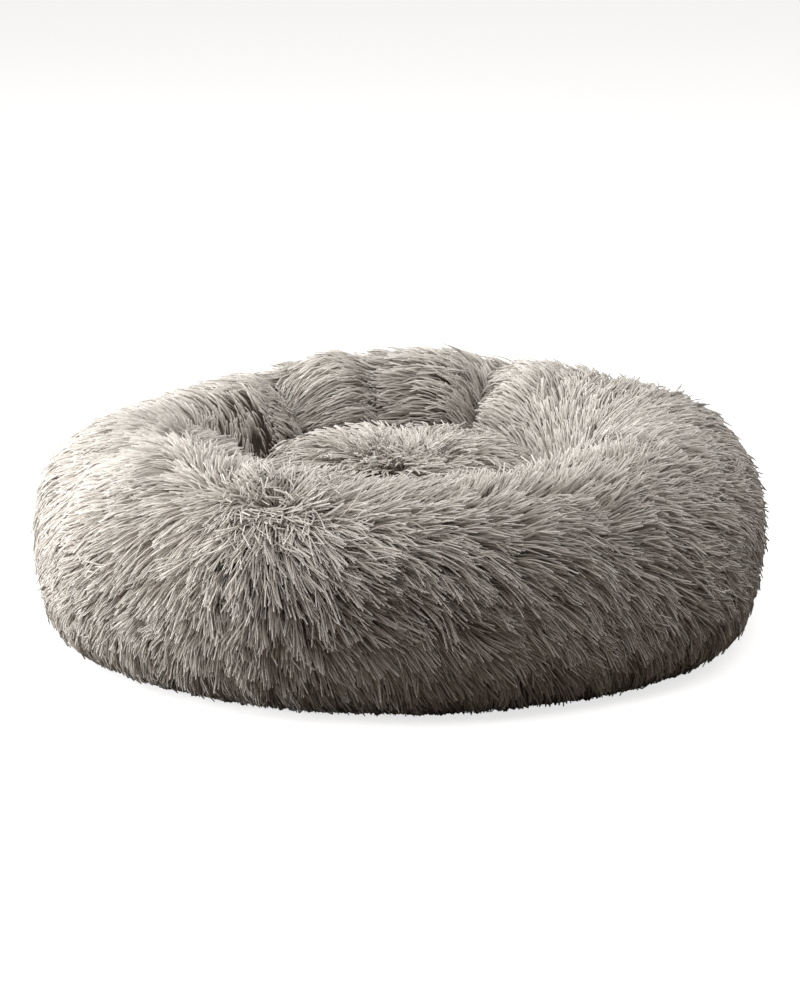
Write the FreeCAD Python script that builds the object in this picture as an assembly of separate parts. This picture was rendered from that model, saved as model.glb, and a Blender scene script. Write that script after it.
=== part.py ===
# Round plush pet bed: a long-pile ring bolster, a loose tufted pad in its nest, and a dotted base
# cloth that opens with a zip round the back. Millimetres, +Z up, origin on the floor under the centre.
# Angles go anticlockwise from +X seen from above; the front of the bed faces -Y.
import FreeCAD, Part
import math
import os

Vec = FreeCAD.Vector

# Bolster, measured over the combed pile
outer_r = 300.0         # widest, at belly_z
belly_z = 75.0
height = 188.0
nest_r = 134.0          # narrowest point of the inner wall, at throat_z
throat_z = 100.0
ridge_in = 7.0          # the top of the ring is this much nearer the axis than the middle of its wall
foot_in = 55.0          # from the widest line in to the pile that reaches the floor
wall_foot_out = 26.0    # from the narrowest line out to where the inner wall meets the nest floor
pile = 20.0             # depth of plush: knitted backing and combed pile
seam_angle = 242.0      # first of the seams between the plush panels
panels = ["front", "front_right", "back_right", "back", "back_left", "front_left"]

# Fillings and cloths
gap = 0.3               # between layers that only lie on each other
dot_r = 3.0             # rubber dots under the base cloth
dot_height = 0.6
dot_pitch = 25.0
dot_margin = 8.0        # from the outermost dots to the turn-up
lining = 1.0            # bag that holds the bolster's fibre
base_cloth = 1.5        # dotted cloth under the bed
wadding = 12.0          # sheet between base cloth and nest floor
floor_cloth = 1.0
hem_in = 19.0           # from the foot of the pile in to the edge of the base cloth
turn_up = 10.0          # width of the cloth's rising edge, which meets zip and hem

# Zip round the back of the base, and the plain hem that closes the rest of the circle
zip_in = 10.0           # from the foot of the pile in to the middle of the chain
zip_start = 10.0        # angle of the slider's end of the zip
zip_sweep = 160.0
tape = 0.8
coil_width = 2.7        # of each coil, across the chain
coil_height = 2.5
post_gap = 1.6          # free way between the coils for the slider's post
stop_length = 3.0
hem = 1.2

# Slider and pull tab
slider_width = 11.2
slider_length = 12.0
slider_plate = 1.3
slider_clear = 0.3      # to coils, tapes and pull
slider_ground = 0.9     # from the ears down to the floor
post_width = 0.8
slider_offset = 14.0    # from the zip's start to the slider's middle, along the chain
lug_width = 1.4         # each of the two ears that carry the pull's pin
lug_wall = 0.5          # below the pin
pin_r = 0.6
pin_clear = 0.1
pull_eye_r = 1.25
pull_eye_width = 3.0
pull_length = 26.0
pull_width = 7.0
pull_thickness = 1.0

# Care label, folded and sewn under the hem
label_angle = 250.0
label_length = 38.0
label_width = 16.0
label = 0.8

# Pad
pad_clear = 6.0         # between the pad and the narrowest part of the nest
pad_top_z = 155.0       # crown of the pile
pad_crown_in = 53.0     # from the pad's widest line in to its crown
pad_dimple_z = 144.0    # pile over the tuft
pad_belly_z = 85.0
pad_flat_in = 33.0      # from the widest line in to the part that lies on the floor of the nest
backing = 2.0           # the knit under the pad's pile, where the tuft's button sits
under_cloth = 1.0
button_r = 12.0
button = 6.0
back_button_r = 10.0
back_button = 3.0
thread_r = 0.8

os.makedirs("parts", exist_ok=True)


def at(r, z):
    """A point of a section, which is drawn in the XZ plane."""
    return Vec(r, 0, z)


def line(a, b):
    return Part.LineSegment(a, b).toShape()


def quarter(start, corner, end):
    """A quarter of an ellipse from start to end, inside their common corner."""
    curve = Part.BSplineCurve()
    weights = [1.0, math.sqrt(0.5), 1.0]
    curve.buildFromPolesMultsKnots([start, corner, end], [3, 3], [0.0, 1.0], False, 2, weights)
    return curve.toShape()


def s_curve(start, end):
    """A smooth step that leaves start and reaches end level."""
    middle = (start.x + end.x) / 2
    curve = Part.BezierCurve()
    curve.setPoles([start, at(middle, start.z), at(middle, end.z), end])
    return curve.toShape()


def outline(points):
    """The straight edges that close points into a loop."""
    return [line(a, b) for a, b in zip(points, points[1:] + points[:1])]


def turned(edges, start=0.0, sweep=360.0):
    """The solid that a section makes when it goes round the bed's axis."""
    face = Part.Face(Part.Wire(edges))
    face.rotate(Vec(0, 0, 0), Vec(0, 0, 1), start)
    return face.revolve(Vec(0, 0, 0), Vec(0, 0, 1), sweep)


def band(r1, r2, z1, z2, start=0.0, sweep=360.0):
    """A ring, or a piece of one, with a rectangular section."""
    return turned(outline([at(r1, z1), at(r2, z1), at(r2, z2), at(r1, z2)]), start, sweep)


def disc(r, z1, z2):
    return Part.makeCylinder(r, z2 - z1, Vec(0, 0, z1))


def degrees(length, r):
    """The angle that an arc of this length takes at radius r."""
    return math.degrees(length / r)


def save(name, shape):
    shape.exportStep("parts/" + name + ".step")
    print(name, "solids", len(shape.Solids), "cm3", round(shape.Volume / 1000, 2), "valid", shape.isValid())


# Radii that follow from the sizes above
ridge_r = (outer_r + nest_r) / 2 - ridge_in
foot_r = outer_r - foot_in
wall_foot_r = nest_r + wall_foot_out
hem_outer_r = foot_r - hem_in
hem_inner_r = hem_outer_r - turn_up
zip_r = foot_r - zip_in
pad_r = nest_r - pad_clear
pad_crown_r = pad_r - pad_crown_in
pad_flat_r = pad_r - pad_flat_in

# Heights of the slider, from the floor up, and of the tapes and coils that it runs on
lug_bottom = slider_ground
pin_z = lug_bottom + lug_wall + pin_r
plate_bottom = pin_z + pull_eye_r + slider_clear
channel_low = plate_bottom + slider_plate
zip_plane_z = channel_low + slider_clear + coil_height / 2
channel_high = zip_plane_z + coil_height / 2 + slider_clear

# Heights of the stack in the middle of the bed
cloth_top = dot_height + base_cloth
wadding_z = cloth_top + gap
wadding_top = wadding_z + wadding
floor_z = wadding_top + gap
floor_top = floor_z + floor_cloth
pad_z = floor_top + gap


# Bolster: plush panels, each an equal part of the circle, round a lined ring of fibre

def bolster_edge(inset):
    """The open outline of the ring from its foot over the ridge to the foot of the inner wall."""
    foot = at(foot_r, inset)
    belly = at(outer_r - inset, belly_z)
    ridge = at(ridge_r, height - inset)
    throat = at(nest_r + inset, throat_z)
    wall_foot = at(wall_foot_r, floor_top + inset)
    return [
        quarter(foot, at(belly.x, foot.z), belly),
        quarter(belly, at(belly.x, ridge.z), ridge),
        quarter(ridge, at(throat.x, ridge.z), throat),
        quarter(throat, at(throat.x, wall_foot.z), wall_foot),
    ]


def plush_panel(start, sweep):
    outside = bolster_edge(0)
    inside = bolster_edge(pile)
    wall_end = line(at(wall_foot_r, floor_top), at(wall_foot_r, floor_top + pile))
    foot_end = line(at(foot_r, pile), at(foot_r, 0))
    return turned(outside + [wall_end] + inside[::-1] + [foot_end], start, sweep)


def bag_edge(inset):
    """The closed outline of what lies inside the plush, down to the wadding."""
    bottom = floor_z + inset
    foot = at(foot_r, pile + gap + inset)
    wall_foot = at(wall_foot_r, floor_top + pile + gap + inset)
    inner = wall_foot_r + gap + inset
    outer = foot_r - gap - inset
    corners = [wall_foot, at(inner, wall_foot.z), at(inner, bottom), at(outer, bottom), at(outer, foot.z), foot]
    return bolster_edge(pile + gap + inset) + [line(a, b) for a, b in zip(corners, corners[1:])]


def make_bolster():
    sweep = 360.0 / len(panels)
    for number, side in enumerate(panels):
        save("bolster_fur_" + side, plush_panel(seam_angle + number * sweep, sweep))
    save("bolster_lining", turned(bag_edge(0)).cut(turned(bag_edge(lining))))
    save("bolster_fibre_fill", turned(bag_edge(lining + gap)))


# Base: dotted cloth with a turned-up edge, wadding, and the floor of the nest

def grip_dots():
    """Rubber dots in staggered rows over the flat of the base cloth."""
    reach = hem_inner_r - dot_margin
    row_pitch = dot_pitch * math.sqrt(3) / 2
    rows = int(reach / row_pitch)
    dots = []
    for row in range(-rows, rows + 1):
        y = row * row_pitch
        shift = dot_pitch / 2 if row % 2 else 0.0
        half_row = int(reach / dot_pitch) + 1
        for column in range(-half_row, half_row + 1):
            x = column * dot_pitch + shift
            if math.hypot(x, y) + dot_r <= reach:
                dots.append(Part.makeCylinder(dot_r, dot_height, Vec(x, y, 0)))
    return dots


def make_base():
    hem_low = zip_plane_z - hem / 2
    section = [
        at(0, dot_height), at(hem_inner_r, dot_height), at(hem_outer_r, hem_low),
        at(hem_outer_r, hem_low + base_cloth), at(hem_inner_r, cloth_top), at(0, cloth_top),
    ]
    save("base_cloth", turned(outline(section)))
    save("grip_dots", Part.makeCompound(grip_dots()))
    save("base_wadding", disc(hem_inner_r - gap, wadding_z, wadding_top))
    save("nest_floor_cloth", disc(wall_foot_r - gap, floor_z, floor_top))


# Zip, plain hem and care label, all in the ring between base cloth and plush

ring_inner_r = hem_outer_r + gap
ring_outer_r = foot_r - gap
inner_coil_r = zip_r - post_gap / 2         # inner coil's edge beside the post
outer_coil_r = zip_r + post_gap / 2


def make_closure():
    low, high = zip_plane_z - tape / 2, zip_plane_z + tape / 2
    save("zip_tape_inner", band(ring_inner_r, inner_coil_r - coil_width, low, high, zip_start, zip_sweep))
    save("zip_tape_outer", band(outer_coil_r + coil_width, ring_outer_r, low, high, zip_start, zip_sweep))
    stop_turn = degrees(stop_length, zip_r)
    coil_start = zip_start + stop_turn + degrees(gap, zip_r)
    coil_sweep = zip_sweep - 2 * (coil_start - zip_start)
    low, high = zip_plane_z - coil_height / 2, zip_plane_z + coil_height / 2
    inner = band(inner_coil_r - coil_width, inner_coil_r, low, high, coil_start, coil_sweep)
    outer = band(outer_coil_r, outer_coil_r + coil_width, low, high, coil_start, coil_sweep)
    save("zip_coil_inner", inner)
    save("zip_coil_outer", outer)
    width = (inner_coil_r - coil_width, outer_coil_r + coil_width)
    first = band(*width, low, high, zip_start, stop_turn)
    last = band(*width, low, high, zip_start + zip_sweep - stop_turn, stop_turn)
    save("zip_end_stops", Part.makeCompound([first, last]))
    low, high = zip_plane_z - hem / 2, zip_plane_z + hem / 2
    save("plain_hem", band(ring_inner_r, ring_outer_r, low, high, zip_start + zip_sweep, 360.0 - zip_sweep))
    label_r = ring_outer_r - label_width
    turn = degrees(label_length, ring_outer_r)
    save("care_label", band(label_r, ring_outer_r, low - label, low, label_angle, turn))


# Slider: two plates joined by a post between the coils, with ears for the pull below

slider_angle = zip_start + degrees(slider_offset, zip_r)


def in_place(shape):
    """Moves a shape drawn round X = zip_r, with Y along the chain, to the slider's place."""
    shape.rotate(Vec(0, 0, 0), Vec(0, 0, 1), slider_angle)
    return shape


def slider_body():
    half = slider_width / 2
    channel = coil_width + post_gap / 2 + slider_clear
    slot_low = zip_plane_z - tape / 2 - slider_clear
    slot_high = zip_plane_z + tape / 2 + slider_clear
    turn = degrees(slider_length, zip_r)
    start = slider_angle - turn / 2
    side = half - channel

    def run(r1, r2, z1, z2):
        return band(r1, r2, z1, z2, start, turn)

    body = run(zip_r - half, zip_r + half, plate_bottom, channel_low)
    pieces = [run(zip_r - half, zip_r + half, channel_high, channel_high + slider_plate)]
    for inner in (zip_r - half, zip_r + channel):
        pieces.append(run(inner, inner + side, plate_bottom, slot_low))
        pieces.append(run(inner, inner + side, slot_high, channel_high + slider_plate))
    pieces.append(run(zip_r - post_width / 2, zip_r + post_width / 2, plate_bottom, channel_high + slider_plate))
    return body.multiFuse(pieces).removeSplitter()


def slider_lugs():
    """The two ears and the pin between them, round X = zip_r."""
    inside = pull_eye_width / 2 + slider_clear
    ear_height = plate_bottom + slider_plate / 2 - lug_bottom
    ears = []
    for x in (zip_r - inside - lug_width, zip_r + inside):
        ears.append(Part.makeBox(lug_width, 2 * pull_eye_r, ear_height, Vec(x, -pull_eye_r, lug_bottom)))
    pin_start = Vec(zip_r - inside - lug_width / 2, 0, pin_z)
    pin = Part.makeCylinder(pin_r, 2 * inside + lug_width, pin_start, Vec(1, 0, 0))
    return ears[0].multiFuse([ears[1], pin])


def pull_tab():
    """An eye round the pin and a flat tab that lies along the chain."""
    eye_start = Vec(zip_r - pull_eye_width / 2, 0, pin_z)
    eye = Part.makeCylinder(pull_eye_r, pull_eye_width, eye_start, Vec(1, 0, 0))
    z = pin_z - pull_thickness / 2
    neck_end = pull_eye_r + lug_width + slider_clear
    neck = Part.makeBox(pull_eye_width, neck_end, pull_thickness, Vec(zip_r - pull_eye_width / 2, 0, z))
    tab_half = pull_width / 2
    tip_y = pull_length - tab_half
    tab = Part.makeBox(pull_width, tip_y - neck_end, pull_thickness, Vec(zip_r - tab_half, neck_end, z))
    tip = Part.makeCylinder(tab_half, pull_thickness, Vec(zip_r, tip_y, z))
    finger_hole = Part.makeCylinder(tab_half / 2, 3 * pull_thickness, Vec(zip_r, tip_y, z - pull_thickness))
    bore_start = Vec(zip_r - pull_eye_width, 0, pin_z)
    bore = Part.makeCylinder(pin_r + pin_clear, 2 * pull_eye_width, bore_start, Vec(1, 0, 0))
    return eye.multiFuse([neck, tab, tip]).removeSplitter().cut(finger_hole).cut(bore)


def make_slider():
    body = slider_body().fuse(in_place(slider_lugs())).removeSplitter()
    save("zip_slider", body)
    save("zip_pull", in_place(pull_tab()))
    angle = math.radians(slider_angle)
    print("pin at", [round(v, 4) for v in (zip_r * math.cos(angle), zip_r * math.sin(angle), pin_z)],
          "along", [round(v, 6) for v in (math.cos(angle), math.sin(angle))])


# Pad: a plush top over fibre, a cloth underneath, and a tuft through the middle

under_rise = back_button + 2 * gap      # the tuft pulls the under cloth up over its back button


def pad_edge(inset):
    """The open outline of the pad from its middle over the crown to its foot."""
    middle = at(0, pad_dimple_z - inset)
    crown = at(pad_crown_r, pad_top_z - inset)
    belly = at(pad_r - inset, pad_belly_z)
    foot = at(pad_flat_r, pad_z + inset)
    return [
        s_curve(middle, crown),
        quarter(crown, at(belly.x, crown.z), belly),
        quarter(belly, at(belly.x, foot.z), foot),
    ]


def make_pad():
    outside = pad_edge(0)
    inside = pad_edge(pile)
    foot_end = line(at(pad_flat_r, pad_z), at(pad_flat_r, pad_z + pile))
    middle_end = line(at(0, pad_dimple_z - pile), at(0, pad_dimple_z))
    plush = turned(outside + [foot_end] + inside[::-1] + [middle_end])
    button_z = pad_dimple_z - pile + backing
    through = thread_r + gap
    plush = plush.cut(disc(through, pad_z, pad_top_z))
    plush = plush.cut(disc(button_r + gap, button_z, pad_top_z))
    save("pad_fur_top", plush)

    rise_r = back_button_r + 2 * under_rise
    cloth = [
        at(through, pad_z + under_rise), at(back_button_r + gap, pad_z + under_rise), at(rise_r, pad_z),
        at(pad_flat_r - gap, pad_z), at(pad_flat_r - gap, pad_z + under_cloth),
        at(rise_r, pad_z + under_cloth), at(back_button_r + gap, pad_z + under_rise + under_cloth),
        at(through, pad_z + under_rise + under_cloth),
    ]
    save("pad_under_cloth", turned(outline(cloth)))

    bottom = pad_z + under_cloth + gap
    core = pad_edge(pile + gap)
    foot = at(pad_flat_r, pad_z + pile + gap)
    corners = [
        foot, at(pad_flat_r - gap, foot.z), at(pad_flat_r - gap, bottom), at(rise_r, bottom),
        at(back_button_r + gap, bottom + under_rise), at(0, bottom + under_rise),
        at(0, pad_dimple_z - pile - gap),
    ]
    fill = turned(core + [line(a, b) for a, b in zip(corners, corners[1:])])
    save("pad_fibre_fill", fill.cut(disc(through, pad_z, pad_top_z)))

    save("tuft_button", disc(button_r, button_z, button_z + button))
    save("tuft_back_button", disc(back_button_r, pad_z + gap, pad_z + gap + back_button))
    save("tuft_thread", disc(thread_r, pad_z + gap + back_button, button_z))


make_bolster()
make_base()
make_closure()
make_slider()
make_pad()
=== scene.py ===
import bpy
import bmesh
import math
import numpy as np
from mathutils import Matrix, Vector, kdtree


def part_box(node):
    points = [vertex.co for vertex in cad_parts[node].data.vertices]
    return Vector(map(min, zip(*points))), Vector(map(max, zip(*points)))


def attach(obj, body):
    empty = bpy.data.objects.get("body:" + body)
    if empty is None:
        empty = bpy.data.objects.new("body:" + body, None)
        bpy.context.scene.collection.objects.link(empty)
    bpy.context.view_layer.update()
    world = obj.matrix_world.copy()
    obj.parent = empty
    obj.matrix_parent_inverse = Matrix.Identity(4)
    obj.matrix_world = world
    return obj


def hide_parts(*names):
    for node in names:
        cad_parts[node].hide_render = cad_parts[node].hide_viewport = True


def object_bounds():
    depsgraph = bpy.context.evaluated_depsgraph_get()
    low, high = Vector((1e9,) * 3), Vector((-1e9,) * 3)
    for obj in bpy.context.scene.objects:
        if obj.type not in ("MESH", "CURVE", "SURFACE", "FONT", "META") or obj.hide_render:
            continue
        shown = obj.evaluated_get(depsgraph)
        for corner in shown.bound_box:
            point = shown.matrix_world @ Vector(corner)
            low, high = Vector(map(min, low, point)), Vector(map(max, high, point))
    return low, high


# A round plush pet bed: a long-pile ring round a loose domed pad, on a dotted base cloth with a zip.
# Metres. Angles go round the bed anticlockwise from +X, and -Y is the front.

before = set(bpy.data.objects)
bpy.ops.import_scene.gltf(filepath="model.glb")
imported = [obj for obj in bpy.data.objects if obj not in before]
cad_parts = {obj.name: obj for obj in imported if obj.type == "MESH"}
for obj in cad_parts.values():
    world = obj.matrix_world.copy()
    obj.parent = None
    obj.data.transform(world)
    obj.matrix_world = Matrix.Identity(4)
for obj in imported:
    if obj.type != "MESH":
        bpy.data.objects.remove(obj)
cadLow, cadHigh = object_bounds()
print("frame loaded,", len(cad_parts), "nodes")

panelNames = ["front", "front_right", "back_right", "back", "back_left", "front_left"]
padLow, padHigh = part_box("pad_fur_top")
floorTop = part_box("nest_floor_cloth")[1].z
outerRadius = (cadHigh.x - cadLow.x) / 2


def aimAt(position, target):
    # a rotation that looks from position to target
    return (Vector(target) - Vector(position)).to_track_quat("-Z", "Y").to_euler()


def unit(vectors):
    return vectors / np.maximum(np.linalg.norm(vectors, axis=-1, keepdims=True), 1e-9)


def waves(points, size, seed, count=7):
    # smooth noise in about -1 to 1: a sum of plane waves about one size long
    draw = np.random.default_rng(seed)
    total = np.zeros(points.shape[:-1])
    for _ in range(count):
        direction = unit(draw.normal(size=3)) * (2 * math.pi / size) * draw.uniform(0.7, 1.5)
        total += np.sin(points @ direction + draw.uniform(0, 2 * math.pi))
    return total / math.sqrt(count / 2) / 1.6


# the form under the pile of the ring
ring = {
    "belly": 0.070,          # height of the widest line
    "ridge": 0.207,          # radius of the top
    "throat": 0.100,         # height of the narrowest line of the nest
    "nest": padHigh.x + 0.006,
    "foot": 0.247,           # radius where the pile meets the ground
    "wallFoot": 0.158,       # radius where the inner wall meets the floor of the nest
    "pileDepth": 0.014,      # from the knit to the outline
    "roundness": [2.6, 2.25, 2.1, 2.0],   # of the four arcs, 2 is an ellipse
    "lump": 0.0035,          # height of the long waves in the stuffing
    "heights": {10: 188, 28: 187, 44: 190, 58: 184, 72: 191, 85: 193, 100: 188, 113: 183, 128: 180, 140: 177,
                150: 181, 165: 182, 185: 183, 205: 180, 230: 177, 250: 175, 270: 173, 293: 169, 320: 174,
                345: 182},     # of the combed top, angle: millimetres
    "widths": {120: 0, 145: 6, 180: 8, 205: 8, 225: 3, 240: 0, 320: 0, 350: 3, 20: 3,
               40: 0},       # beyond round, angle: millimetres
    "creases": [(122, 0.034, 6.0), (100, 0.004, 4.0), (68, 0.030, 5.5),
                (163, 0.018, 20.0)],     # of the inner wall: angle, depth, width in degrees
    "underside": [0.160, 0.217, 0.228, 0.244],    # radii of the closed underside, from the nest outwards
    "knitUnder": 0.0165,     # its height in the knit and in the filling, over the wadding
    "fillUnder": 0.0175,
    "zipTop": 0.0105,        # and over the zip
    "panelStart": 242,       # angle where the first panel begins
}


def byAngle(table, around):
    # millimetres from a table of angles, smoothed, as metres
    angles, values = list(table), np.array(list(table.values())) / 1000
    return sum(np.interp(around + step, angles, values, period=360) for step in (-12, -6, 0, 6, 12)) / 5


def ringSection(around, turn, inset):
    # radius and height of the section: turn is -90 at the foot, 0 at the belly, 90 at the ridge and 180 at
    # the throat
    angle = np.radians(turn)
    quarter = np.clip(((turn + 90) // 90).astype(int), 0, 3)
    ends = byAngle(ring["heights"], around) - inset
    low = 0.001 + inset * 0.35
    centreR = np.choose(quarter, [ring["foot"], ring["ridge"], ring["ridge"], ring["wallFoot"]])
    centreZ = np.choose(quarter, [ring["belly"], ring["belly"], ring["throat"], ring["throat"]])
    outR = outerRadius + byAngle(ring["widths"], around) - inset
    inR = ring["nest"] + inset
    halfR = np.choose(quarter, [outR - ring["foot"], outR - ring["ridge"], ring["ridge"] - inR,
                                ring["wallFoot"] - inR])
    halfZ = np.choose(quarter, [ring["belly"] - low, ends - ring["belly"], ends - ring["throat"],
                                ring["throat"] - floorTop - inset])
    power = 2 / np.choose(quarter, ring["roundness"])
    cosine, sine = np.cos(angle), np.sin(angle)
    radius = centreR + halfR * np.sign(cosine) * np.abs(cosine) ** power
    height = centreZ + halfZ * np.sign(sine) * np.abs(sine) ** power
    return radius, height


def ringPoint(around, turn, inset):
    radius, height = ringSection(around, np.minimum(turn, 270.0), inset)
    a = np.radians(around)
    points = np.stack([radius * np.cos(a), radius * np.sin(a), height], -1)
    push = ring["lump"] * waves(points, 0.16, 3)
    inner = np.clip((turn - 75) / 40, 0, 1) * np.clip((260 - turn) / 40, 0, 1)
    for angle, depth, width in ring["creases"]:
        off = (around - angle + 180) % 360 - 180
        push = push - depth * inner * np.exp(-(off / width) ** 2)
        push = push + 0.25 * depth * inner * np.exp(-((np.abs(off) - 2.2 * width) / (1.5 * width)) ** 2)
    rise = np.clip(np.sin(np.radians(np.clip(turn, -90, 90))) * 1.6 + 1.2, 0, 1)
    outward = np.stack([np.cos(a) * np.cos(np.radians(turn)), np.sin(a) * np.cos(np.radians(turn)),
                        np.sin(np.radians(turn))], -1)
    return points + outward * (push * rise)[..., None]


# the form under the pile of the pad
cushion = {
    "crown": padHigh.z + 0.005,
    "fullness": 6.0,         # how flat the top is before it turns down at the edge
    "dimple": 0.009,         # how far the tuft pulls the middle down
    "dimpleRadius": 0.034,
    "belly": 0.085,          # height of the widest line
    "flat": 0.095,           # radius of the flat underside
    "pileDepth": 0.013,
    "whorl": (0.0, -0.012),
}


def padPoint(around, reach, inset):
    # reach is 0 in the middle, 1 at the belly and 2 at the foot
    radius = padHigh.x - inset
    down = np.clip(reach - 1, 0, 1) * math.pi / 2
    up = np.clip(reach, 0, 1)
    top = cushion["crown"] - inset
    r = np.where(reach <= 1, radius * np.sin(up * math.pi / 2) ** 0.9,
                 cushion["flat"] + (radius - cushion["flat"]) * np.cos(down))
    share = np.clip(r / radius, 0, 1)
    belly = cushion["belly"]
    domed = belly + (top - belly) * np.clip(1 - share ** cushion["fullness"], 0, 1) ** 0.5
    domed = domed - cushion["dimple"] * np.exp(-(r / cushion["dimpleRadius"]) ** 2)
    z = np.where(reach <= 1, domed, belly - (belly - padLow.z - 0.3 * inset) * np.sin(down))
    a = -np.radians(around)
    points = np.stack([r * np.cos(a), r * np.sin(a), z], -1)
    points[..., 2] += 0.002 * waves(points, 0.09, 8) * np.clip(1.3 - reach, 0, 1)
    return points


def surfaceFrame(pointAt, first, second, inset, stepA, stepB):
    # the point, its outward normal, and unit vectors along the first and second coordinate
    here = pointAt(first, second, inset)
    alongA = pointAt(first + stepA, second, inset) - pointAt(first - stepA, second, inset)
    alongB = pointAt(first, second + stepB, inset) - pointAt(first, second - stepB, inset)
    speedA = np.linalg.norm(alongA, axis=-1) / (2 * stepA)
    speedB = np.linalg.norm(alongB, axis=-1) / (2 * stepB)
    return here, unit(np.cross(alongA, alongB)), unit(alongA), unit(alongB), speedA, speedB


# Which way the pile of the ring lies, in degrees on its surface: 0 runs anticlockwise round the bed, 90
# climbs from the floor over the ridge into the nest, and -90 runs down to the floor.
comb = {
    "turns": [-90, -30, 10, 40, 60, 80, 110, 150, 210],    # of the columns below
    "rows": {      # by angle round the bed
        10: [-85, -60, -40, -40, -50, -50, -50, -50, -50],
        40: [-85, -60, -40, -40, -40, -35, -35, -35, -30],
        65: [-85, -50, -30, -20, -10, -5, -5, -5, 0],
        95: [-85, -50, -25, -10, 0, 0, 0, 5, 10],
        122: [-85, -60, -40, -30, -20, -10, -5, 0, 10],
        150: [-90, -90, -90, -90, -90, -85, -80, -80, -60],
        180: [-90, -110, -130, -120, -105, -95, -80, -60, -60],
        210: [-90, -120, -140, -140, -130, -115, 90, 90, 90],
        232: [-90, -110, -125, -135, -150, 120, 90, 90, 90],
        247: [-90, -92, -90, -85, -80, 90, 90, 90, 90],
        262: [-88, -75, -50, -22, 5, 40, 60, 80, 90],
        290: [-85, -60, -35, -15, 0, 30, 60, 80, 90],
        320: [-85, -55, -35, -20, -5, 20, 60, 90, 90],
        345: [-85, -50, -30, -30, -45, -60, -60, -60, -60],
    },
    "partAngle": 245.5,      # the pile of the ring parts here, on the front left of the ridge
    "partTurn": 70.0,
    "partReach": 0.060,
    "partShare": 0.6,        # how far the parting takes over from the rows at its middle
    "partSwirl": 0.5,
    "partUpright": 0.35,     # how much less flat the pile lies within its eye
    "partEye": 0.028,
    "upright": (128, 236, 100, 0.35),    # where the inner wall stands up: angles, turn, how flat it lies
}


def combTable():
    rows = sorted(comb["rows"])
    angles = np.radians(np.array([comb["rows"][row] for row in rows], float))
    rows = [rows[-1] - 360] + rows + [rows[0] + 360]
    angles = np.concatenate([angles[-1:], angles, angles[:1]])
    return np.array(rows, float), np.stack([np.cos(angles), np.sin(angles)], -1)


combRows, combVectors = combTable()


def uprightShare(around, turn):
    # 1 where the pile stands end-on out of the inner wall, 0 elsewhere
    first, last, start, _ = comb["upright"]
    inner = np.clip((turn - start) / 25, 0, 1)
    return inner * np.clip((around - first) / 10, 0, 1) * np.clip((last - around) / 15, 0, 1)


def inSurface(vectors, alongA, alongB):
    # the part of each vector that lies in the surface
    shareA = (vectors * alongA).sum(-1, keepdims=True)
    shareB = (vectors * alongB).sum(-1, keepdims=True)
    return alongA * shareA + alongB * shareB


def combRing(around, turn, points, alongA, alongB):
    # the pile's direction in the surface, shorter than 1 where it stands up
    row = np.interp(around % 360, combRows, np.arange(len(combRows)))
    column = np.interp(turn, comb["turns"], np.arange(len(comb["turns"])))
    low, left = np.floor(row).astype(int), np.floor(column).astype(int)
    high, right = np.minimum(low + 1, len(combRows) - 1), np.minimum(left + 1, len(comb["turns"]) - 1)
    up, over = (row - low)[:, None], (column - left)[:, None]
    vector = (combVectors[low, left] * (1 - over) + combVectors[low, right] * over) * (1 - up)
    vector = vector + (combVectors[high, left] * (1 - over) + combVectors[high, right] * over) * up
    flow = alongA * vector[:, :1] + alongB * vector[:, 1:]
    start = ringPoint(np.array([comb["partAngle"]]), np.array([comb["partTurn"]]), 0.0)[0]
    away = points - start
    distance = np.linalg.norm(away, axis=-1)
    radial = inSurface(away, alongA, alongB)
    weight = comb["partShare"] * np.exp(-(distance / comb["partReach"]) ** 2)[:, None]
    swirl = np.cross(unit(points * [1, 1, 0]) + [0, 0, 1.5], radial)
    flow = flow * (1 - weight) + unit(radial + comb["partSwirl"] * swirl) * weight
    lie = np.clip(np.linalg.norm(flow, axis=-1) * 1.25, 0.55, 1)
    lie = lie * (1 - comb["partUpright"] * np.exp(-(distance / comb["partEye"]) ** 2))
    lie = lie * (1 - (1 - comb["upright"][3]) * uprightShare(around, turn))
    return unit(flow) * lie[:, None]


def combPad(around, reach, points, alongA, alongB):
    # outward from the whorl, with a little swirl
    away = points[..., :2] - np.array(cushion["whorl"])
    away = np.concatenate([away, np.zeros(away.shape[:-1] + (1,))], -1)
    swirl = np.stack([-away[..., 1], away[..., 0], away[..., 2]], -1)
    flow = inSurface(unit(away) + 0.35 * unit(swirl), alongA, alongB)
    distance = np.linalg.norm(away, axis=-1)
    return unit(flow + alongB * 0.15) * np.clip(distance / 0.03, 0.45, 1)[..., None]


# a lock of the pile: a bent tube with a blunt tip
lock = {
    "radius": 0.00066,
    "rings": [0.0, 0.36, 0.72, 1.0],       # places along the lock
    "girth": [0.8, 1.0, 1.05, 0.85],        # radius there, as a share
    "corners": 3,
    "ownShade": 0.55,        # how much a lock is shaded by its own roundness and not as part of the pile
    "mapStep": 0.006,        # keeps the corners of a lock apart in its maps
    "tangleTurn": 9,         # degrees that the locks stray by, and curl by, in the tangle at a parting
    "tangleCurl": 38,
}


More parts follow.
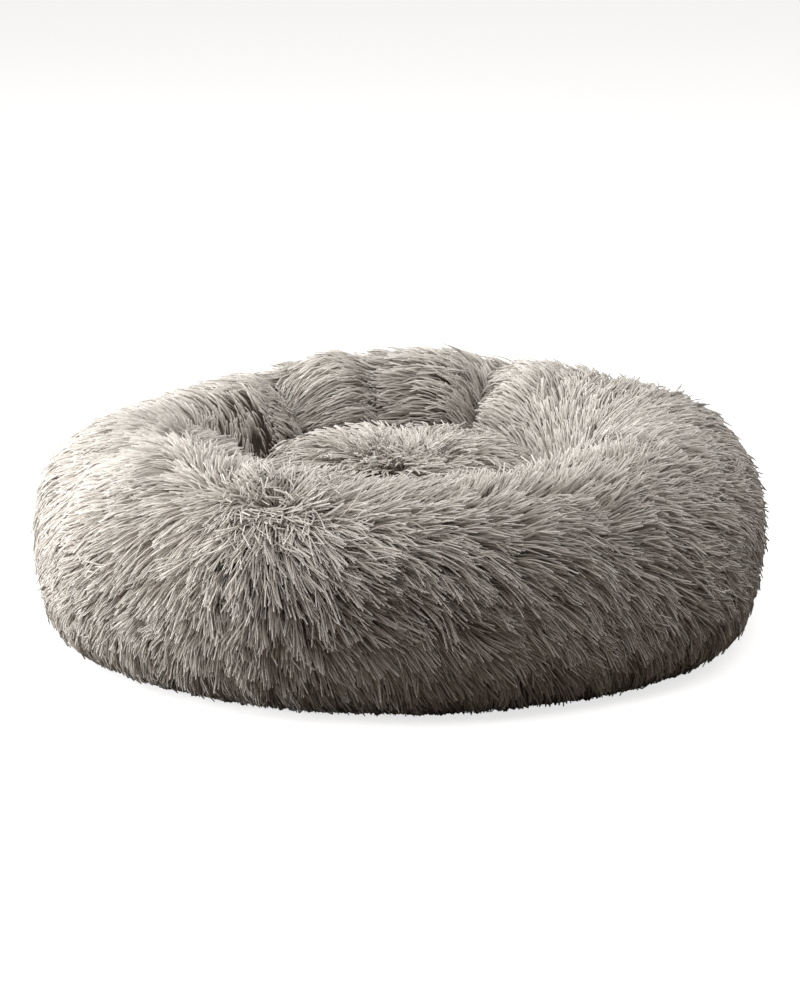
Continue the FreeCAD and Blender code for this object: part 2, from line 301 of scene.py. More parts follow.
def lockTemplate():
    # one lock along +Z: an open tube of rings drawn out from a triangle, closed at both ends
    bm = bmesh.new()
    made = bmesh.ops.create_circle(bm, segments=lock["corners"], radius=1.0, cap_ends=True)
    edges = list(dict.fromkeys(e for v in made["verts"] for e in v.link_edges))
    for ringNumber in range(1, len(lock["rings"])):
        drawn = bmesh.ops.extrude_edge_only(bm, edges=edges)["geom"]
        verts = [g for g in drawn if isinstance(g, bmesh.types.BMVert)]
        edges = [g for g in drawn if isinstance(g, bmesh.types.BMEdge)]
        bmesh.ops.translate(bm, verts=verts, vec=(0, 0, 1))
    bmesh.ops.holes_fill(bm, edges=edges, sides=lock["corners"])
    bmesh.ops.recalc_face_normals(bm, faces=bm.faces)
    bm.verts.index_update()
    spots = [(round(v.co.z), math.atan2(v.co.y, v.co.x)) for v in bm.verts]
    faces = [[v.index for v in f.verts] for f in bm.faces]
    bm.free()
    return spots, faces


def spread(count, seed):
    # evenly spread pairs of numbers from 0 to 1, a little shaken
    draw = np.random.default_rng(seed)
    number = np.arange(count) + 0.5
    shake = 0.5 / math.sqrt(count)
    stepFirst, stepSecond = 0.7548776662466927, 0.5698402909980532     # these two fill a square evenly
    first = (number * stepFirst + draw.uniform(-shake, shake, count)) % 1
    second = (number * stepSecond + draw.uniform(-shake, shake, count)) % 1
    return first, second


def nearest(points, centres):
    tree = kdtree.KDTree(len(centres))
    for number, centre in enumerate(centres):
        tree.insert(centre, number)
    tree.balance()
    return np.array([tree.find(p)[1] for p in points])


def crestShare(around, turn):
    # 1 on the outer front of the ridge, where the locks stand proud in terraces and show their tips
    line = 42 + (around - 265) * 0.55        # the terrace climbs to the right
    return np.exp(-((turn - line) / 23) ** 2) * np.clip(1.3 - np.abs(around - 272) / 60, 0, 1)


def ringNap(around, turn):
    # how long, how lifted and how unruly the pile is, as shares
    low = np.clip((30 - turn) / 50, 0, 1)
    left = np.exp(-((around - 180) / 35) ** 2)
    crest = crestShare(around, turn)
    stubby = uprightShare(around, turn)
    long = (1 + 0.30 * low) * (1 - 0.35 * stubby)
    lifted = (1 - 0.45 * low) * (1 - 0.4 * left) * (1 + 1.1 * crest)
    back = np.exp(-((around - 85) / 60) ** 2)
    unruly = (1 - 0.35 * low) * (1 - 0.3 * left) * (1 - 0.35 * back) * (1 + 1.5 * stubby)
    return long, lifted, unruly


def padNap(around, reach):
    level = np.ones_like(around)
    return level, level, level


def growLocks(pointAt, combAt, napAt, first, second, inset, settings):
    # the middle line of every lock, its girth, its tone and the surface normal under its tip
    seed, steps = settings["seed"], settings["steps"]
    draw = np.random.default_rng(seed)
    count = len(first)
    root = pointAt(first, second, inset)
    clumpCount = max(2, count // settings["clump"])
    centres = draw.choice(count, clumpCount, replace=False)
    clump = nearest(root, root[centres])
    clumpDraw = np.random.default_rng(seed + 1)
    clumpTurn = clumpDraw.normal(0, settings["clumpTurn"], clumpCount)[clump]
    clumpLift = clumpDraw.uniform(-1, 1, clumpCount)[clump]
    clumpLong = clumpDraw.uniform(-1, 1, clumpCount)[clump]
    long, lifted, unruly = napAt(first, second)
    turnWave = waves(root, settings["waveSize"], seed + 2) * settings["waveTurn"]
    tangled = np.exp(-(np.linalg.norm(root - settings["tangle"], axis=-1) / settings["tangleReach"]) ** 2)
    strandTurn = draw.normal(0, 1, count) * (settings["strandTurn"] + lock["tangleTurn"] * tangled)
    turnAngle = np.radians(turnWave + (clumpTurn + strandTurn) * unruly)
    curl = np.radians(draw.normal(0, 1, count) * (settings["curl"] + lock["tangleCurl"] * tangled))
    length = settings["length"] * long * (1 + 0.12 * clumpLong + draw.normal(0, 0.10, count))
    lift = settings["lift"] + settings["liftSpread"] * draw.uniform(0, 1, count) ** 1.6
    lift = lift + settings["clumpLift"] * clumpLift
    lift = np.maximum(lift * lifted, 0.003)
    proud = settings["proud"] * lifted * draw.uniform(0, 1, count) ** 2
    places = lock["rings"]
    a, b = first.copy(), second.copy()
    here, normal, alongA, alongB, speedA, speedB = surfaceFrame(pointAt, a, b, inset, *steps)
    downward = -(combAt(a, b, here, alongA, alongB) * alongB).sum(-1) * settings["downSign"]
    room = np.abs(b - settings["range"][settings["lowEnd"]]) * speedB
    length = np.where(downward > 0.3, np.minimum(length, room / np.maximum(downward, 0.3) + 0.002), length)
    line = []
    before = 0.0
    for place in places:
        advance = (place - before) * length
        here, normal, alongA, alongB, speedA, speedB = surfaceFrame(pointAt, a, b, inset, *steps)
        flow = combAt(a, b, here, alongA, alongB)
        bend = turnAngle + curl * place * 2
        cross = np.cross(normal, flow)
        flow = flow * np.cos(bend)[:, None] + cross * np.sin(bend)[:, None]
        if place == 0:
            stand = (1 - np.linalg.norm(flow, axis=-1)) * length * 0.55
        if place > 0:
            a = a + (flow * alongA).sum(-1) * advance / speedA
            b = b + (flow * alongB).sum(-1) * advance / speedB
            b = np.clip(b, *settings["range"])
            here, normal, alongA, alongB, speedA, speedB = surfaceFrame(pointAt, a, b, inset, *steps)
        rise = lift * (1 - (1 - place) ** 2) + stand * place + proud * place ** 2
        line.append(here + normal * rise[:, None])
        before = place
    line = np.stack(line, 1)
    centreLine = line[centres][clump]
    pull = settings["gather"] * draw.uniform(0.5, 1.0, count)
    offset = root - root[centres][clump]
    for number, place in enumerate(places):
        wanted = centreLine[:, number] + offset * 0.35
        line[:, number] += (wanted - line[:, number]) * (pull * place ** 1.5)[:, None]
    line[..., 2] = np.maximum(line[..., 2], lock["radius"] * 1.7)
    # each lock a little lighter or darker at random, and clumps that lift higher a little lighter as painted
    # light
    tone = settings["shade"] + (0.16 * draw.normal(size=count) + 0.10 * clumpLift) * np.clip(unruly, 0.6, 1)
    # painted light and shade: locks lifted above the rest are made lighter, and flatter ones darker
    tone = tone + settings["liftPaintedLight"] * (lifted - 1)
    tone = np.clip(tone, 0.02, 0.98)
    girth = lock["radius"] * (1 + 0.15 * draw.normal(size=count).clip(-2, 2))
    return line, girth, tone, normal


def locksToMesh(name, line, girth, tone, outward):
    # puts the template round every line; each map holds the lock's tone and the place along it
    count = len(line)
    along = unit(np.gradient(line, axis=1))
    helper = unit(np.cross(along, np.array([0.31, 0.52, 0.79])))
    other = np.cross(along, helper)
    draw = np.random.default_rng(len(line))
    roll = draw.uniform(0, 2 * math.pi, count)
    verts = np.empty((count, len(lockSpots), 3), np.float32)
    soft = np.empty((count, len(lockSpots), 3), np.float32)
    toneAlong = np.empty((count, len(lockSpots), 2), np.float32)
    for number, (ringNumber, angle) in enumerate(lockSpots):
        size = (girth * lock["girth"][ringNumber])[:, None]
        turnBy = (angle + roll)[:, None]
        side = helper[:, ringNumber] * np.cos(turnBy) + other[:, ringNumber] * np.sin(turnBy)
        verts[:, number] = line[:, ringNumber] + side * size
        soft[:, number] = unit(side * lock["ownShade"] + outward * (1 - lock["ownShade"]))
        corner = number % lock["corners"]
        toneAlong[:, number, 0] = tone + lock["mapStep"] * corner
        toneAlong[:, number, 1] = lock["rings"][ringNumber] * 0.96 + 0.01 + lock["mapStep"] * (corner == 1)
    sizes = np.array([len(f) for f in lockFaces])
    faceCorners = np.concatenate([np.array(f) for f in lockFaces])
    loops = (faceCorners[None, :] + np.arange(count)[:, None] * len(lockSpots)).ravel()
    starts = np.concatenate([[0], np.cumsum(np.tile(sizes, count))[:-1]])
    me = bpy.data.meshes.new(name)
    me.vertices.add(count * len(lockSpots))
    me.vertices.foreach_set("co", verts.ravel())
    me.loops.add(len(loops))
    me.loops.foreach_set("vertex_index", loops.astype(np.int32))
    me.polygons.add(len(starts))
    me.polygons.foreach_set("loop_start", starts.astype(np.int32))
    me.update(calc_edges=True)
    values = toneAlong.reshape(-1, 2)[loops].astype(np.float32).ravel()
    for mapName in ("lockTone", "OFBake"):
        me.uv_layers.new(name=mapName).data.foreach_set("uv", values)
    me.shade_smooth()
    me.normals_split_custom_set_from_vertices(soft.reshape(-1, 3))
    obj = bpy.data.objects.new(name, me)
    bpy.context.scene.collection.objects.link(obj)
    return obj


lockSpots, lockFaces = lockTemplate()


def newMaterial(name):
    mat = bpy.data.materials.new(name)
    mat.use_nodes = True
    return mat, mat.node_tree, mat.node_tree.nodes["Principled BSDF"]


def pileMaterial():
    # darker towards the root of each lock, partly the yarn's own colour and partly painted shade from the
    # locks around it; lightest at the very tip, partly a painted highlight; and each lock a little lighter
    # or darker than the next
    mat, tree, shader = newMaterial("plushPile")
    uv = tree.nodes.new("ShaderNodeUVMap")
    uv.uv_map = "lockTone"
    split = tree.nodes.new("ShaderNodeSeparateXYZ")
    ramp = tree.nodes.new("ShaderNodeValToRGB")
    # the dark stops near the root are partly painted shade, and the last stop at the tip is partly a painted
    # highlight
    stops = [(0.0, (0.22, 0.19, 0.16)), (0.3, (0.43, 0.39, 0.345)), (0.6, (0.62, 0.58, 0.535)),
             (0.86, (0.77, 0.74, 0.70)), (1.0, (0.93, 0.90, 0.865))]
    while len(ramp.color_ramp.elements) < len(stops):
        ramp.color_ramp.elements.new(0.5)
    for element, (place, colour) in zip(ramp.color_ramp.elements, stops):
        element.position = place
        element.color = (*colour, 1)
    toneRamp = tree.nodes.new("ShaderNodeMapRange")
    toneRamp.inputs["To Min"].default_value = 0.82
    toneRamp.inputs["To Max"].default_value = 1.16
    mix = tree.nodes.new("ShaderNodeVectorMath")
    mix.operation = "SCALE"
    tree.links.new(uv.outputs["UV"], split.inputs["Vector"])
    tree.links.new(split.outputs["Y"], ramp.inputs["Fac"])
    tree.links.new(split.outputs["X"], toneRamp.inputs["Value"])
    tree.links.new(ramp.outputs["Color"], mix.inputs[0])
    tree.links.new(toneRamp.outputs["Result"], mix.inputs["Scale"])
    tree.links.new(mix.outputs["Vector"], shader.inputs["Base Color"])
    shader.inputs["Roughness"].default_value = 0.8
    shader.inputs["Specular IOR Level"].default_value = 0.1
    shader.inputs["Sheen Weight"].default_value = 0.1
    shader.inputs["Sheen Roughness"].default_value = 0.4
    return mat


def objectNoise(tree, scale, detail=3.0):
    place = tree.nodes.new("ShaderNodeTexCoord")
    noise = tree.nodes.new("ShaderNodeTexNoise")
    noise.inputs["Scale"].default_value = scale
    noise.inputs["Detail"].default_value = detail
    tree.links.new(place.outputs["Object"], noise.inputs["Vector"])
    return noise, place


def blendColours(tree, shader, factor, dark, light):
    mix = tree.nodes.new("ShaderNodeMix")
    mix.data_type = "RGBA"
    mix.inputs["A"].default_value = (*dark, 1)
    mix.inputs["B"].default_value = (*light, 1)
    tree.links.new(factor, mix.inputs["Factor"])
    tree.links.new(mix.outputs["Result"], shader.inputs["Base Color"])


def addBump(tree, shader, height, distance, strength=0.6):
    bump = tree.nodes.new("ShaderNodeBump")
    bump.inputs["Strength"].default_value = strength
    bump.inputs["Distance"].default_value = distance
    tree.links.new(height, bump.inputs["Height"])
    tree.links.new(bump.outputs["Normal"], shader.inputs["Normal"])


def wovenMaterial(name, dark, light, pitch, roughness, sheen, rings=False):
    # two sets of threads crossing; rings runs one set round the bed, as in a tape sewn in a circle
    mat, tree, shader = newMaterial(name)
    noise, place = objectNoise(tree, 60.0)
    threads = []
    for direction in ("X", "Y"):
        wave = tree.nodes.new("ShaderNodeTexWave")
        wave.wave_type = "RINGS" if rings and direction == "X" else "BANDS"
        wave.bands_direction = direction
        wave.rings_direction = "Z"
        wave.inputs["Scale"].default_value = 0.314 / pitch
        wave.inputs["Distortion"].default_value = 0.4
        wave.inputs["Detail"].default_value = 1.0
        tree.links.new(place.outputs["Object"], wave.inputs["Vector"])
        threads.append(wave)
    both = tree.nodes.new("ShaderNodeMath")
    both.operation = "MAXIMUM"
    tree.links.new(threads[0].outputs["Fac"], both.inputs[0])
    tree.links.new(threads[1].outputs["Fac"], both.inputs[1])
    shade = tree.nodes.new("ShaderNodeMath")
    shade.operation = "MULTIPLY"
    tree.links.new(both.outputs[0], shade.inputs[0])
    tree.links.new(noise.outputs["Fac"], shade.inputs[1])
    blendColours(tree, shader, shade.outputs[0], dark, light)
    addBump(tree, shader, both.outputs[0], pitch * 0.4)
    shader.inputs["Roughness"].default_value = roughness
    shader.inputs["Sheen Weight"].default_value = sheen
    shader.inputs["Specular IOR Level"].default_value = 0.25
    return mat


def mottledMaterial(name, dark, light, scale, roughness, bump, metallic=0.0, stretch=(1, 1, 1)):
    # one fine noise drives the colour, the roughness and the bump
    mat, tree, shader = newMaterial(name)
    noise, place = objectNoise(tree, scale, 5.0)
    turn = tree.nodes.new("ShaderNodeMapping")
    turn.inputs["Scale"].default_value = stretch
    tree.links.new(place.outputs["Object"], turn.inputs["Vector"])
    tree.links.new(turn.outputs["Vector"], noise.inputs["Vector"])
    blendColours(tree, shader, noise.outputs["Fac"], dark, light)
    roughRange = tree.nodes.new("ShaderNodeMapRange")
    roughRange.inputs["To Min"].default_value = roughness - 0.08
    roughRange.inputs["To Max"].default_value = roughness + 0.08
    tree.links.new(noise.outputs["Fac"], roughRange.inputs["Value"])
    tree.links.new(roughRange.outputs["Result"], shader.inputs["Roughness"])
    addBump(tree, shader, noise.outputs["Fac"], bump, 0.4)
    shader.inputs["Metallic"].default_value = metallic
    return mat


pile = pileMaterial()
# the knit under the pile is coloured dark as painted shade, so that where it shows between the locks it
# reads as the shade at the foot of the pile
knit = mottledMaterial("plushKnit", (0.07, 0.058, 0.046), (0.15, 0.125, 0.10), 900.0, 0.9, 0.0006)
liningWeave = wovenMaterial("liningWeave", (0.50, 0.48, 0.45), (0.72, 0.70, 0.66), 0.0006, 0.85, 0.1)
fibre = mottledMaterial("polyesterFibre", (0.70, 0.70, 0.69), (0.90, 0.90, 0.89), 400.0, 0.9, 0.0012)
oxford = wovenMaterial("oxfordBase", (0.15, 0.14, 0.13), (0.42, 0.40, 0.37), 0.0011, 0.75, 0.05)
floorWeave = wovenMaterial("floorWeave", (0.22, 0.205, 0.185), (0.42, 0.395, 0.36), 0.0008, 0.85, 0.1)
dotRubber = mottledMaterial("dotRubber", (0.018, 0.018, 0.019), (0.05, 0.05, 0.052), 700.0, 0.62, 0.0002)
tapeWeave = wovenMaterial("zipTape", (0.13, 0.12, 0.11), (0.34, 0.32, 0.295), 0.0007, 0.8, 0.1, True)
nylonCoil = mottledMaterial("nylonCoil", (0.16, 0.15, 0.14), (0.27, 0.255, 0.235), 500.0, 0.38, 0.0001)
zipMetal = mottledMaterial("zipMetal", (0.30, 0.29, 0.28), (0.50, 0.49, 0.47), 300.0, 0.34, 0.00008,
                           1.0, (1, 1, 6))
labelSatin = wovenMaterial("labelSatin", (0.72, 0.71, 0.69), (0.92, 0.91, 0.89), 0.0004, 0.5, 0.2)
buttonPlastic = mottledMaterial("buttonPlastic", (0.36, 0.33, 0.29), (0.46, 0.425, 0.38), 160.0, 0.42,
                                0.0001)
tuftThread = mottledMaterial("tuftThread", (0.42, 0.39, 0.35), (0.66, 0.62, 0.57), 1200.0, 0.75, 0.0004,
                             0.0, (1, 1, 0.4))
stitchThread = mottledMaterial("stitchThread", (0.34, 0.32, 0.29), (0.56, 0.53, 0.49), 1500.0, 0.7, 0.0002)


def addPiece(name, bm, mat, body):
    me = bpy.data.meshes.new(name)
    bm.to_mesh(me)
    bm.free()
    me.shade_smooth()
    me.materials.append(mat)
    obj = bpy.data.objects.new(name, me)
    bpy.context.scene.collection.objects.link(obj)
    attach(obj, body)
    return obj


def spunForm(section, parts, wrap=False, pointAt=None, stops=None, inset=0.0):
    # a form spun from a section of (radius, height) points; pointAt then shapes the points that stops name
    bm = bmesh.new()
    verts = [bm.verts.new((r, 0, z)) for r, z in section]
    edges = [bm.edges.new(pair) for pair in zip(verts, verts[1:])]
    if wrap:
        edges.append(bm.edges.new((verts[-1], verts[0])))
    bmesh.ops.spin(bm, geom=verts + edges, cent=(0, 0, 0), axis=(0, 0, 1), dvec=(0, 0, 0),
                   angle=2 * math.pi, steps=parts, use_merge=True)
    if pointAt is not None:
        bm.verts.ensure_lookup_table()
        count = len(section)
        for turnNumber in range(parts):
            around = turnNumber * 360 / parts
            shaped = pointAt(np.full(len(stops), around), np.array(stops, float), inset)
            for number, spot in enumerate(shaped):
                bm.verts[turnNumber * count + number].co = spot
    bmesh.ops.remove_doubles(bm, verts=bm.verts, dist=1e-6)
    bmesh.ops.recalc_face_normals(bm, faces=bm.faces)
    return bm


def ringForm(name, inset, under, mat, parts):
    # the ring at one depth, closed above the wadding and the zip unless under is None
    stops = list(np.arange(-90, 270.1, 6))
    radius, height = ringSection(np.zeros(len(stops)), np.array(stops), inset)
    section = list(zip(radius, height))
    if under is not None:
        heights = [under, under, ring["zipTop"], ring["zipTop"]]
        section += list(zip(ring["underside"], heights))
    bm = spunForm(section, parts, under is not None, ringPoint, stops, inset)
    return addPiece(name, bm, mat, "root")


def padForm(name, inset, mat, parts):
    stops = list(np.linspace(0.0, 2.0, 36))
    section = [(spot[0], spot[2]) for spot in padPoint(np.zeros(len(stops)), np.array(stops), inset)]
    section += [(section[-1][0] * 0.5, section[-1][1]), (0.0, section[-1][1])]
    bm = spunForm(section, parts, False, lambda a, reach, inset: padPoint(-a, reach, inset), stops, inset)
    return addPiece(name, bm, mat, "pad")


ringPile = {
    "locks": 78000,
    "density": ([-62, 0, 150, 195, 256], [0.9, 1.0, 1.0, 0.5, 0.4]),    # by turn
    "frontDensity": 0.15,    # how much denser the front is than the sides
    "clump": 9,              # locks that lean together
    "clumpTurn": 5.0,
    "waveSize": 0.07,
    "waveTurn": 12.0,
    "strandTurn": 4.0,
    "curl": 6.0,
    "length": 0.039,
    "lift": 0.006,
    "liftSpread": 0.008,
    "clumpLift": 0.003,
    "proud": 0.006,
    "gather": 0.55,
    "shade": 0.47,           # 0 is the darkest yarn, 1 the lightest
    "liftPaintedLight": 0.16,      # painted light: how much lighter the locks are that stand proud, and darker those that lie flat, as light and shade would fall on them
    "range": (-89.0, 262.0),
    "rootRange": (-62.0, 256.0),
    "steps": (0.5, 0.5),     # degrees, for measuring the surface
    "lowEnd": 0,             # the end of the range that is at the floor
    "downSign": 1,           # 1 where the second coordinate climbs, -1 where it runs down
    "tangle": (-0.100, -0.218, 0.176),
    "tangleReach": 0.036,
    "seed": 11,
}


def ringRoots(count, seed):
    # roots over the surface by area, then more of them where the combed pile parts and would show the knit
    turns = np.linspace(*ringPile["rootRange"], 400)
    sample = ringPoint(np.full_like(turns, 10.0), turns, ring["pileDepth"])
    stepLength = np.linalg.norm(np.diff(sample, axis=0), axis=1)
    radius = np.hypot(sample[1:, 0], sample[1:, 1])
    wanted = np.interp(turns[1:], *ringPile["density"])
    share = np.concatenate([[0], np.cumsum(stepLength * radius * wanted)])
    share /= share[-1]
    angles = np.linspace(0, 360, 361)
    wanted = 1 + ringPile["frontDensity"] * np.cos(np.radians(angles[1:] - 270))
    angleShare = np.concatenate([[0], np.cumsum(wanted)])
    first, second = spread(3 * count, seed)
    around = np.interp(first, angleShare / angleShare[-1], angles)
    turn = np.interp(second, share, turns)
    frameAt = surfaceFrame(ringPoint, around, turn, ring["pileDepth"], *ringPile["steps"])
    root, _, alongA, alongB, speedA, speedB = frameAt
    flow = combRing(around, turn, root, alongA, alongB)
    cellWidth = 3                                # degrees round the bed
    cells = (360 // cellWidth, 54)
    limits = ((0, 360), ringPile["rootRange"])
    rooted = np.histogram2d(around, turn, cells, limits)[0]
    covered = np.zeros(cells)
    for reach in (0.3, 0.5, 0.7, 0.9):
        ahead = reach * ringPile["length"]
        a = (around + (flow * alongA).sum(-1) * ahead / speedA) % 360
        b = turn + (flow * alongB).sum(-1) * ahead / speedB
        covered += np.histogram2d(a, b, cells, limits)[0] / 4
    need = np.clip((rooted + 1) / (covered + 1), 0.7, 4.0)
    column = np.minimum((around / cellWidth).astype(int), cells[0] - 1)
    span = ringPile["rootRange"][1] - ringPile["rootRange"][0]
    row = np.clip(((turn - ringPile["rootRange"][0]) / span * cells[1]).astype(int), 0, cells[1] - 1)
    weight = need[column, row] * (1 - 0.5 * uprightShare(around, turn))
    order = np.random.default_rng(seed + 5).uniform(size=len(around)) ** (1 / weight)
    chosen = np.sort(np.argsort(-order)[:count])
    return around[chosen], turn[chosen]


def makeRing():
    core = ringForm("ringKnit", ring["pileDepth"] + 0.001, ring["knitUnder"], knit, 144)
    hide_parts(*["bolster_fur_" + side for side in panelNames])
    around, turn = ringRoots(ringPile["locks"], ringPile["seed"])
    line, girth, tone, outward = growLocks(ringPoint, combRing, ringNap, around, turn, ring["pileDepth"],
                                           ringPile)
    half = ((around - ring["panelStart"]) % 360 // 30).astype(int)
    for number in range(2 * len(panelNames)):
        chosen = half == number
        name = "pile_%s_%d" % (panelNames[number // 2], number % 2 + 1)
        piece = locksToMesh(name, line[chosen], girth[chosen], tone[chosen], outward[chosen])
        piece.data.materials.append(pile)
        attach(piece, "root")
    print("ring made")


padPile = {
    "locks": 9800,
    "crowding": 3.0,         # more roots where the pile parts round the tuft
    "crowdReach": 0.024,
    "clump": 12,
    "clumpTurn": 9.0,
    "waveSize": 0.07,
    "waveTurn": 16.0,
    "strandTurn": 7.0,
    "curl": 12.0,
    "length": 0.032,
    "lift": 0.006,
    "liftSpread": 0.010,
    "clumpLift": 0.003,
    "proud": 0.006,
    "gather": 0.5,
    # lighter than the ring's 0.47 though it is the same plush: painted light, for the brighter light on the
    # pad
    "shade": 0.68,
    "liftPaintedLight": 0.0,
    "range": (0.01, 1.97),
    "steps": (0.5, 0.004),
    "lowEnd": 1,
    "downSign": -1,
    "tangle": (0.0, -0.03, 0.145),
    "tangleReach": 0.028,
    "seed": 21,
}


def padRoots(count, seed):
    reaches = np.linspace(0.0, 1.9, 200)
    sample = padPoint(np.zeros_like(reaches), reaches, cushion["pileDepth"])
    stepLength = np.linalg.norm(np.diff(sample, axis=0), axis=1)
    radius = np.hypot(sample[1:, 0], sample[1:, 1])
    crowded = 1 + padPile["crowding"] * np.exp(-(radius / padPile["crowdReach"]) ** 2)
    share = np.concatenate([[0], np.cumsum(stepLength * radius * crowded)])
    share /= share[-1]
    first, second = spread(count, seed)
    return first * 360, np.interp(second, share, reaches)


def makePad():
    core = padForm("padKnit", cushion["pileDepth"] + 0.001, knit, 96)
    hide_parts("pad_fur_top")
    around, reach = padRoots(padPile["locks"], padPile["seed"])
    line, girth, tone, outward = growLocks(padPoint, combPad, padNap, around, reach, cushion["pileDepth"],
                                           padPile)
    piece = locksToMesh("pile_pad", line, girth, tone, outward)
    piece.data.materials.append(pile)
    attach(piece, "pad")
    print("pad made")


cloths = {
    "baseRadius": 0.216,     # of the flat part of the base cloth
    "baseEdge": 0.226,       # of its turned-up edge
    "baseLow": 0.0006,
    "baseThick": 0.0015,
    "edgeRise": 0.0052,
    "stitchRadius": 0.2125,
    "stitchLength": 0.0034,
    "stitchWidth": 0.0007,
    "stitchPitch": 0.0048,
    "coilPitch": 0.0015,
    "coilSides": 7,          # points in a turn of the coil
    "coilBare": 0.2,         # degrees left free at each end
    "threadWidth": 0.00062,  # of the coil's nylon
}


def disc(name, low, high, radius, mat, body, soften=0.0):
    # a round cloth or pad with a rounded rim, closed
    middle, half = (low + high) / 2, (high - low) / 2
    rim = max(soften, half * 0.4)
    steps = [0, radius * 0.35, radius * 0.7, radius - rim]
    section = [(r, low) for r in steps] + [(radius, middle)] + [(r, high) for r in reversed(steps)]
    bm = spunForm(section, 96)
    return addPiece(name, bm, mat, body)


def makeFillings():
    filling = ringForm("ringFilling", ring["pileDepth"] + 0.004, ring["fillUnder"], fibre, 72)
    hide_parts("bolster_fibre_fill")
    lining = ringForm("ringLining", ring["pileDepth"] + 0.0025, None, liningWeave, 96)
    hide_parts("bolster_lining")
    padFilling = padForm("padFilling", cushion["pileDepth"] + 0.003, fibre, 72)
    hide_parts("pad_fibre_fill")
    low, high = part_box("base_wadding")
    wadding = disc("baseWadding", low.z, high.z, high.x, fibre, "root", 0.005)
    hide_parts("base_wadding")
    print("fillings made")


def makeCloths():
    low, thick = cloths["baseLow"], cloths["baseThick"]
    flat, edge, rise = cloths["baseRadius"], cloths["baseEdge"], cloths["edgeRise"]
    under = [(0, low), (flat * 0.5, low), (flat * 0.97, low), (flat, low + 0.0002), (edge, low + rise)]
    over = [(r, z + thick) for r, z in reversed(under)]
    base = addPiece("baseCloth", spunForm(under + over, 144), oxford, "root")
    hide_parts("base_cloth")
    low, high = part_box("nest_floor_cloth")
    nestFloor = disc("nestFloor", low.z, high.z, high.x, floorWeave, "root")
    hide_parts("nest_floor_cloth")
    low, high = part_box("pad_under_cloth")
    padUnder = disc("padUnder", low.z, min(high.z, low.z + 0.001), high.x, floorWeave, "pad")
    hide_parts("pad_under_cloth")
    # a row of lockstitches just inside the edge of the base cloth
    bm = bmesh.new()
    count = int(2 * math.pi * cloths["stitchRadius"] / cloths["stitchPitch"])
    width = cloths["stitchWidth"]
    for number in range(count):
        made = bmesh.ops.create_uvsphere(bm, u_segments=6, v_segments=4, radius=0.5)["verts"]
        bmesh.ops.scale(bm, verts=made, vec=(width, cloths["stitchLength"], width))
        bmesh.ops.translate(bm, verts=made, vec=(cloths["stitchRadius"], 0, cloths["baseLow"] + 0.0001))
        bmesh.ops.rotate(bm, verts=made, cent=(0, 0, 0),
                         matrix=Matrix.Rotation(2 * math.pi * number / count, 3, "Z"))
    addPiece("baseStitches", bm, stitchThread, "root")
    print("cloths made")


def makeCoil(name, node):
    # a coil of nylon wound inside the space of its CAD node, round the same arc
    spots = np.array([v.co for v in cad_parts[node].data.vertices])
    radius = np.hypot(spots[:, 0], spots[:, 1])
    angles = np.degrees(np.arctan2(spots[:, 1], spots[:, 0]))
    thread = cloths["threadWidth"] / 2
    middleR = (radius.max() + radius.min()) / 2
    halfR = (radius.max() - radius.min()) / 2 - thread
    low, high = spots[:, 2].min(), spots[:, 2].max()
    halfZ = (high - low) / 2 - thread
    turns = int(math.radians(angles.max() - angles.min()) * middleR / cloths["coilPitch"])
    steps = np.arange(turns * cloths["coilSides"] + 1)
    wind = 2 * math.pi * steps / cloths["coilSides"]
    ends = (angles.min() + cloths["coilBare"], angles.max() - cloths["coilBare"])
    a = np.radians(np.interp(steps, (0, steps[-1]), ends))
    r = middleR + halfR * np.cos(wind)
    line = np.stack([r * np.cos(a), r * np.sin(a), (low + high) / 2 + halfZ * np.sin(wind)], -1)
    data = bpy.data.curves.new(name, "CURVE")
    data.dimensions = "3D"
    data.bevel_depth = thread
    data.bevel_resolution = 0
    data.use_fill_caps = True
    spline = data.splines.new("POLY")
    spline.points.add(len(line) - 1)
    spline.points.foreach_set("co", np.concatenate([line, np.ones((len(line), 1))], 1).ravel())
    drawn = bpy.data.objects.new(name + "Drawn", data)
    me = bpy.data.meshes.new_from_object(drawn)
    bpy.data.objects.remove(drawn)
    me.name = name
    me.materials.clear()
    me.materials.append(nylonCoil)
    me.shade_smooth()
    obj = bpy.data.objects.new(name, me)
    bpy.context.scene.collection.objects.link(obj)
    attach(obj, "root")
    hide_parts(node)


def dressNodes():
    finishes = {
        "grip_dots": dotRubber, "plain_hem": tapeWeave, "zip_tape_inner": tapeWeave,
        "zip_tape_outer": tapeWeave, "zip_end_stops": zipMetal, "zip_slider": zipMetal, "zip_pull": zipMetal,
        "care_label": labelSatin, "tuft_button": buttonPlastic, "tuft_back_button": buttonPlastic,
        "tuft_thread": tuftThread,
    }
    for node, finish in finishes.items():
        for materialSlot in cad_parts[node].material_slots:
            materialSlot.material = finish
    makeCoil("zipCoilInner", "zip_coil_inner")
    makeCoil("zipCoilOuter", "zip_coil_outer")
    print("zip and small parts dressed")


makeRing()
makePad()
makeFillings()
makeCloths()
dressNodes()


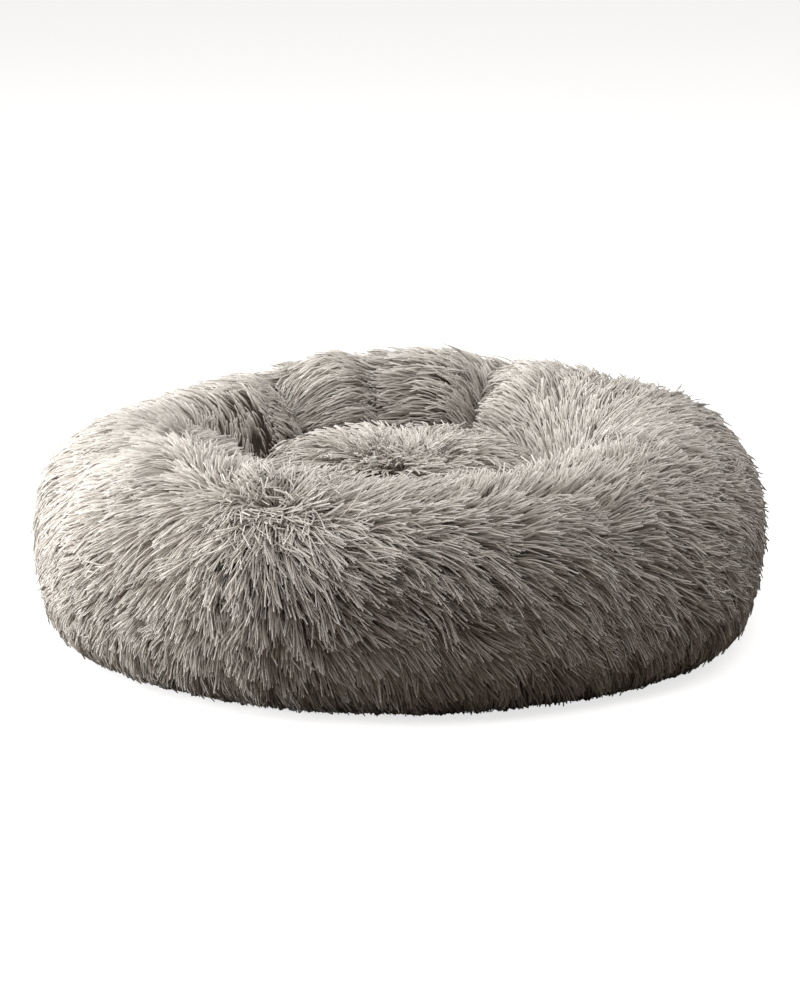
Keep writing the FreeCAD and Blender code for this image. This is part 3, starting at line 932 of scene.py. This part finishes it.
stage = {
    "floorHalf": 30.0,
    "lights": {      # angle round the bed, angle up, distance, size and power
        "key": (165.0, 46.0, 2.7, 2.0, 44),      # from the left
        "side": (180.0, 6.0, 2.7, 2.0, 68),      # low at the left end, fills the gaps that the key leaves
        "low": (190.0, 3.0, 1.6, 0.5, 10),       # near the floor, for the underside of the left end
        "end": (20.0, 35.0, 2.7, 2.0, 12),       # faint, for the right end
        "top": (-70.0, 72.0, 2.7, 2.0, 26),      # overhead, for the ridge
    },
    "lightColour": (1.0, 0.985, 0.96),
    "lightAim": (0, 0, 0.1),
    "cameraPlace": (0, -3.403, 0.910),
    "cameraAim": (-0.0017, 0, 0.109),
    "lens": 152.4,
}


def litOnlyToCamera(tree, shown, bounced, output):
    # the camera sees one shader and every other ray another
    ray = tree.nodes.new("ShaderNodeLightPath")
    mix = tree.nodes.new("ShaderNodeMixShader")
    tree.links.new(ray.outputs["Is Camera Ray"], mix.inputs["Fac"])
    tree.links.new(bounced, mix.inputs[1])
    tree.links.new(shown, mix.inputs[2])
    tree.links.new(mix.outputs["Shader"], output.inputs["Surface"])


def makeStage():
    bpy.ops.mesh.primitive_plane_add(size=2 * stage["floorHalf"], location=(0, 0, 0))
    floor = bpy.context.object
    floor.name = "floor"
    mat, tree, shader = newMaterial("paleFloor")
    shader.inputs["Base Color"].default_value = (0.8, 0.8, 0.8, 1)
    shader.inputs["Roughness"].default_value = 0.9
    shader.inputs["Emission Color"].default_value = (1, 1, 1, 1)
    shader.inputs["Emission Strength"].default_value = 0.72
    dark = tree.nodes.new("ShaderNodeBsdfDiffuse")
    dark.inputs["Color"].default_value = (0.10, 0.08, 0.06, 1)
    litOnlyToCamera(tree, shader.outputs["BSDF"], dark.outputs["BSDF"], tree.nodes["Material Output"])
    floor.data.materials.append(mat)
    world = bpy.data.worlds.new("studio")
    bpy.context.scene.world = world
    world.use_nodes = True
    tree = world.node_tree
    dim = tree.nodes["Background"]
    dim.inputs["Color"].default_value = (1.0, 0.93, 0.85, 1)
    dim.inputs["Strength"].default_value = 0.18
    white = tree.nodes.new("ShaderNodeBackground")
    white.inputs["Color"].default_value = (1, 1, 1, 1)
    litOnlyToCamera(tree, white.outputs["Background"], dim.outputs["Background"], tree.nodes["World Output"])
    for name, (around, up, away, size, power) in stage["lights"].items():
        data = bpy.data.lights.new(name, "AREA")
        data.shape = "DISK"
        data.size = size
        data.energy = power
        data.color = stage["lightColour"]
        light = bpy.data.objects.new(name, data)
        a, e = math.radians(around), math.radians(up)
        level = away * math.cos(e)
        light.location = (level * math.cos(a), level * math.sin(a), away * math.sin(e))
        light.rotation_euler = aimAt(light.location, stage["lightAim"])
        light.visible_camera = False
        bpy.context.scene.collection.objects.link(light)


def makeCamera():
    data = bpy.data.cameras.new("camera")
    data.lens = stage["lens"]
    data.sensor_width = 36
    data.clip_end = 200
    camera = bpy.data.objects.new("camera", data)
    camera.location = stage["cameraPlace"]
    camera.rotation_euler = aimAt(stage["cameraPlace"], stage["cameraAim"])
    bpy.context.scene.collection.objects.link(camera)
    bpy.context.scene.camera = camera


makeStage()
makeCamera()
bpy.context.scene.view_settings.view_transform = "Standard"
print("stage set")
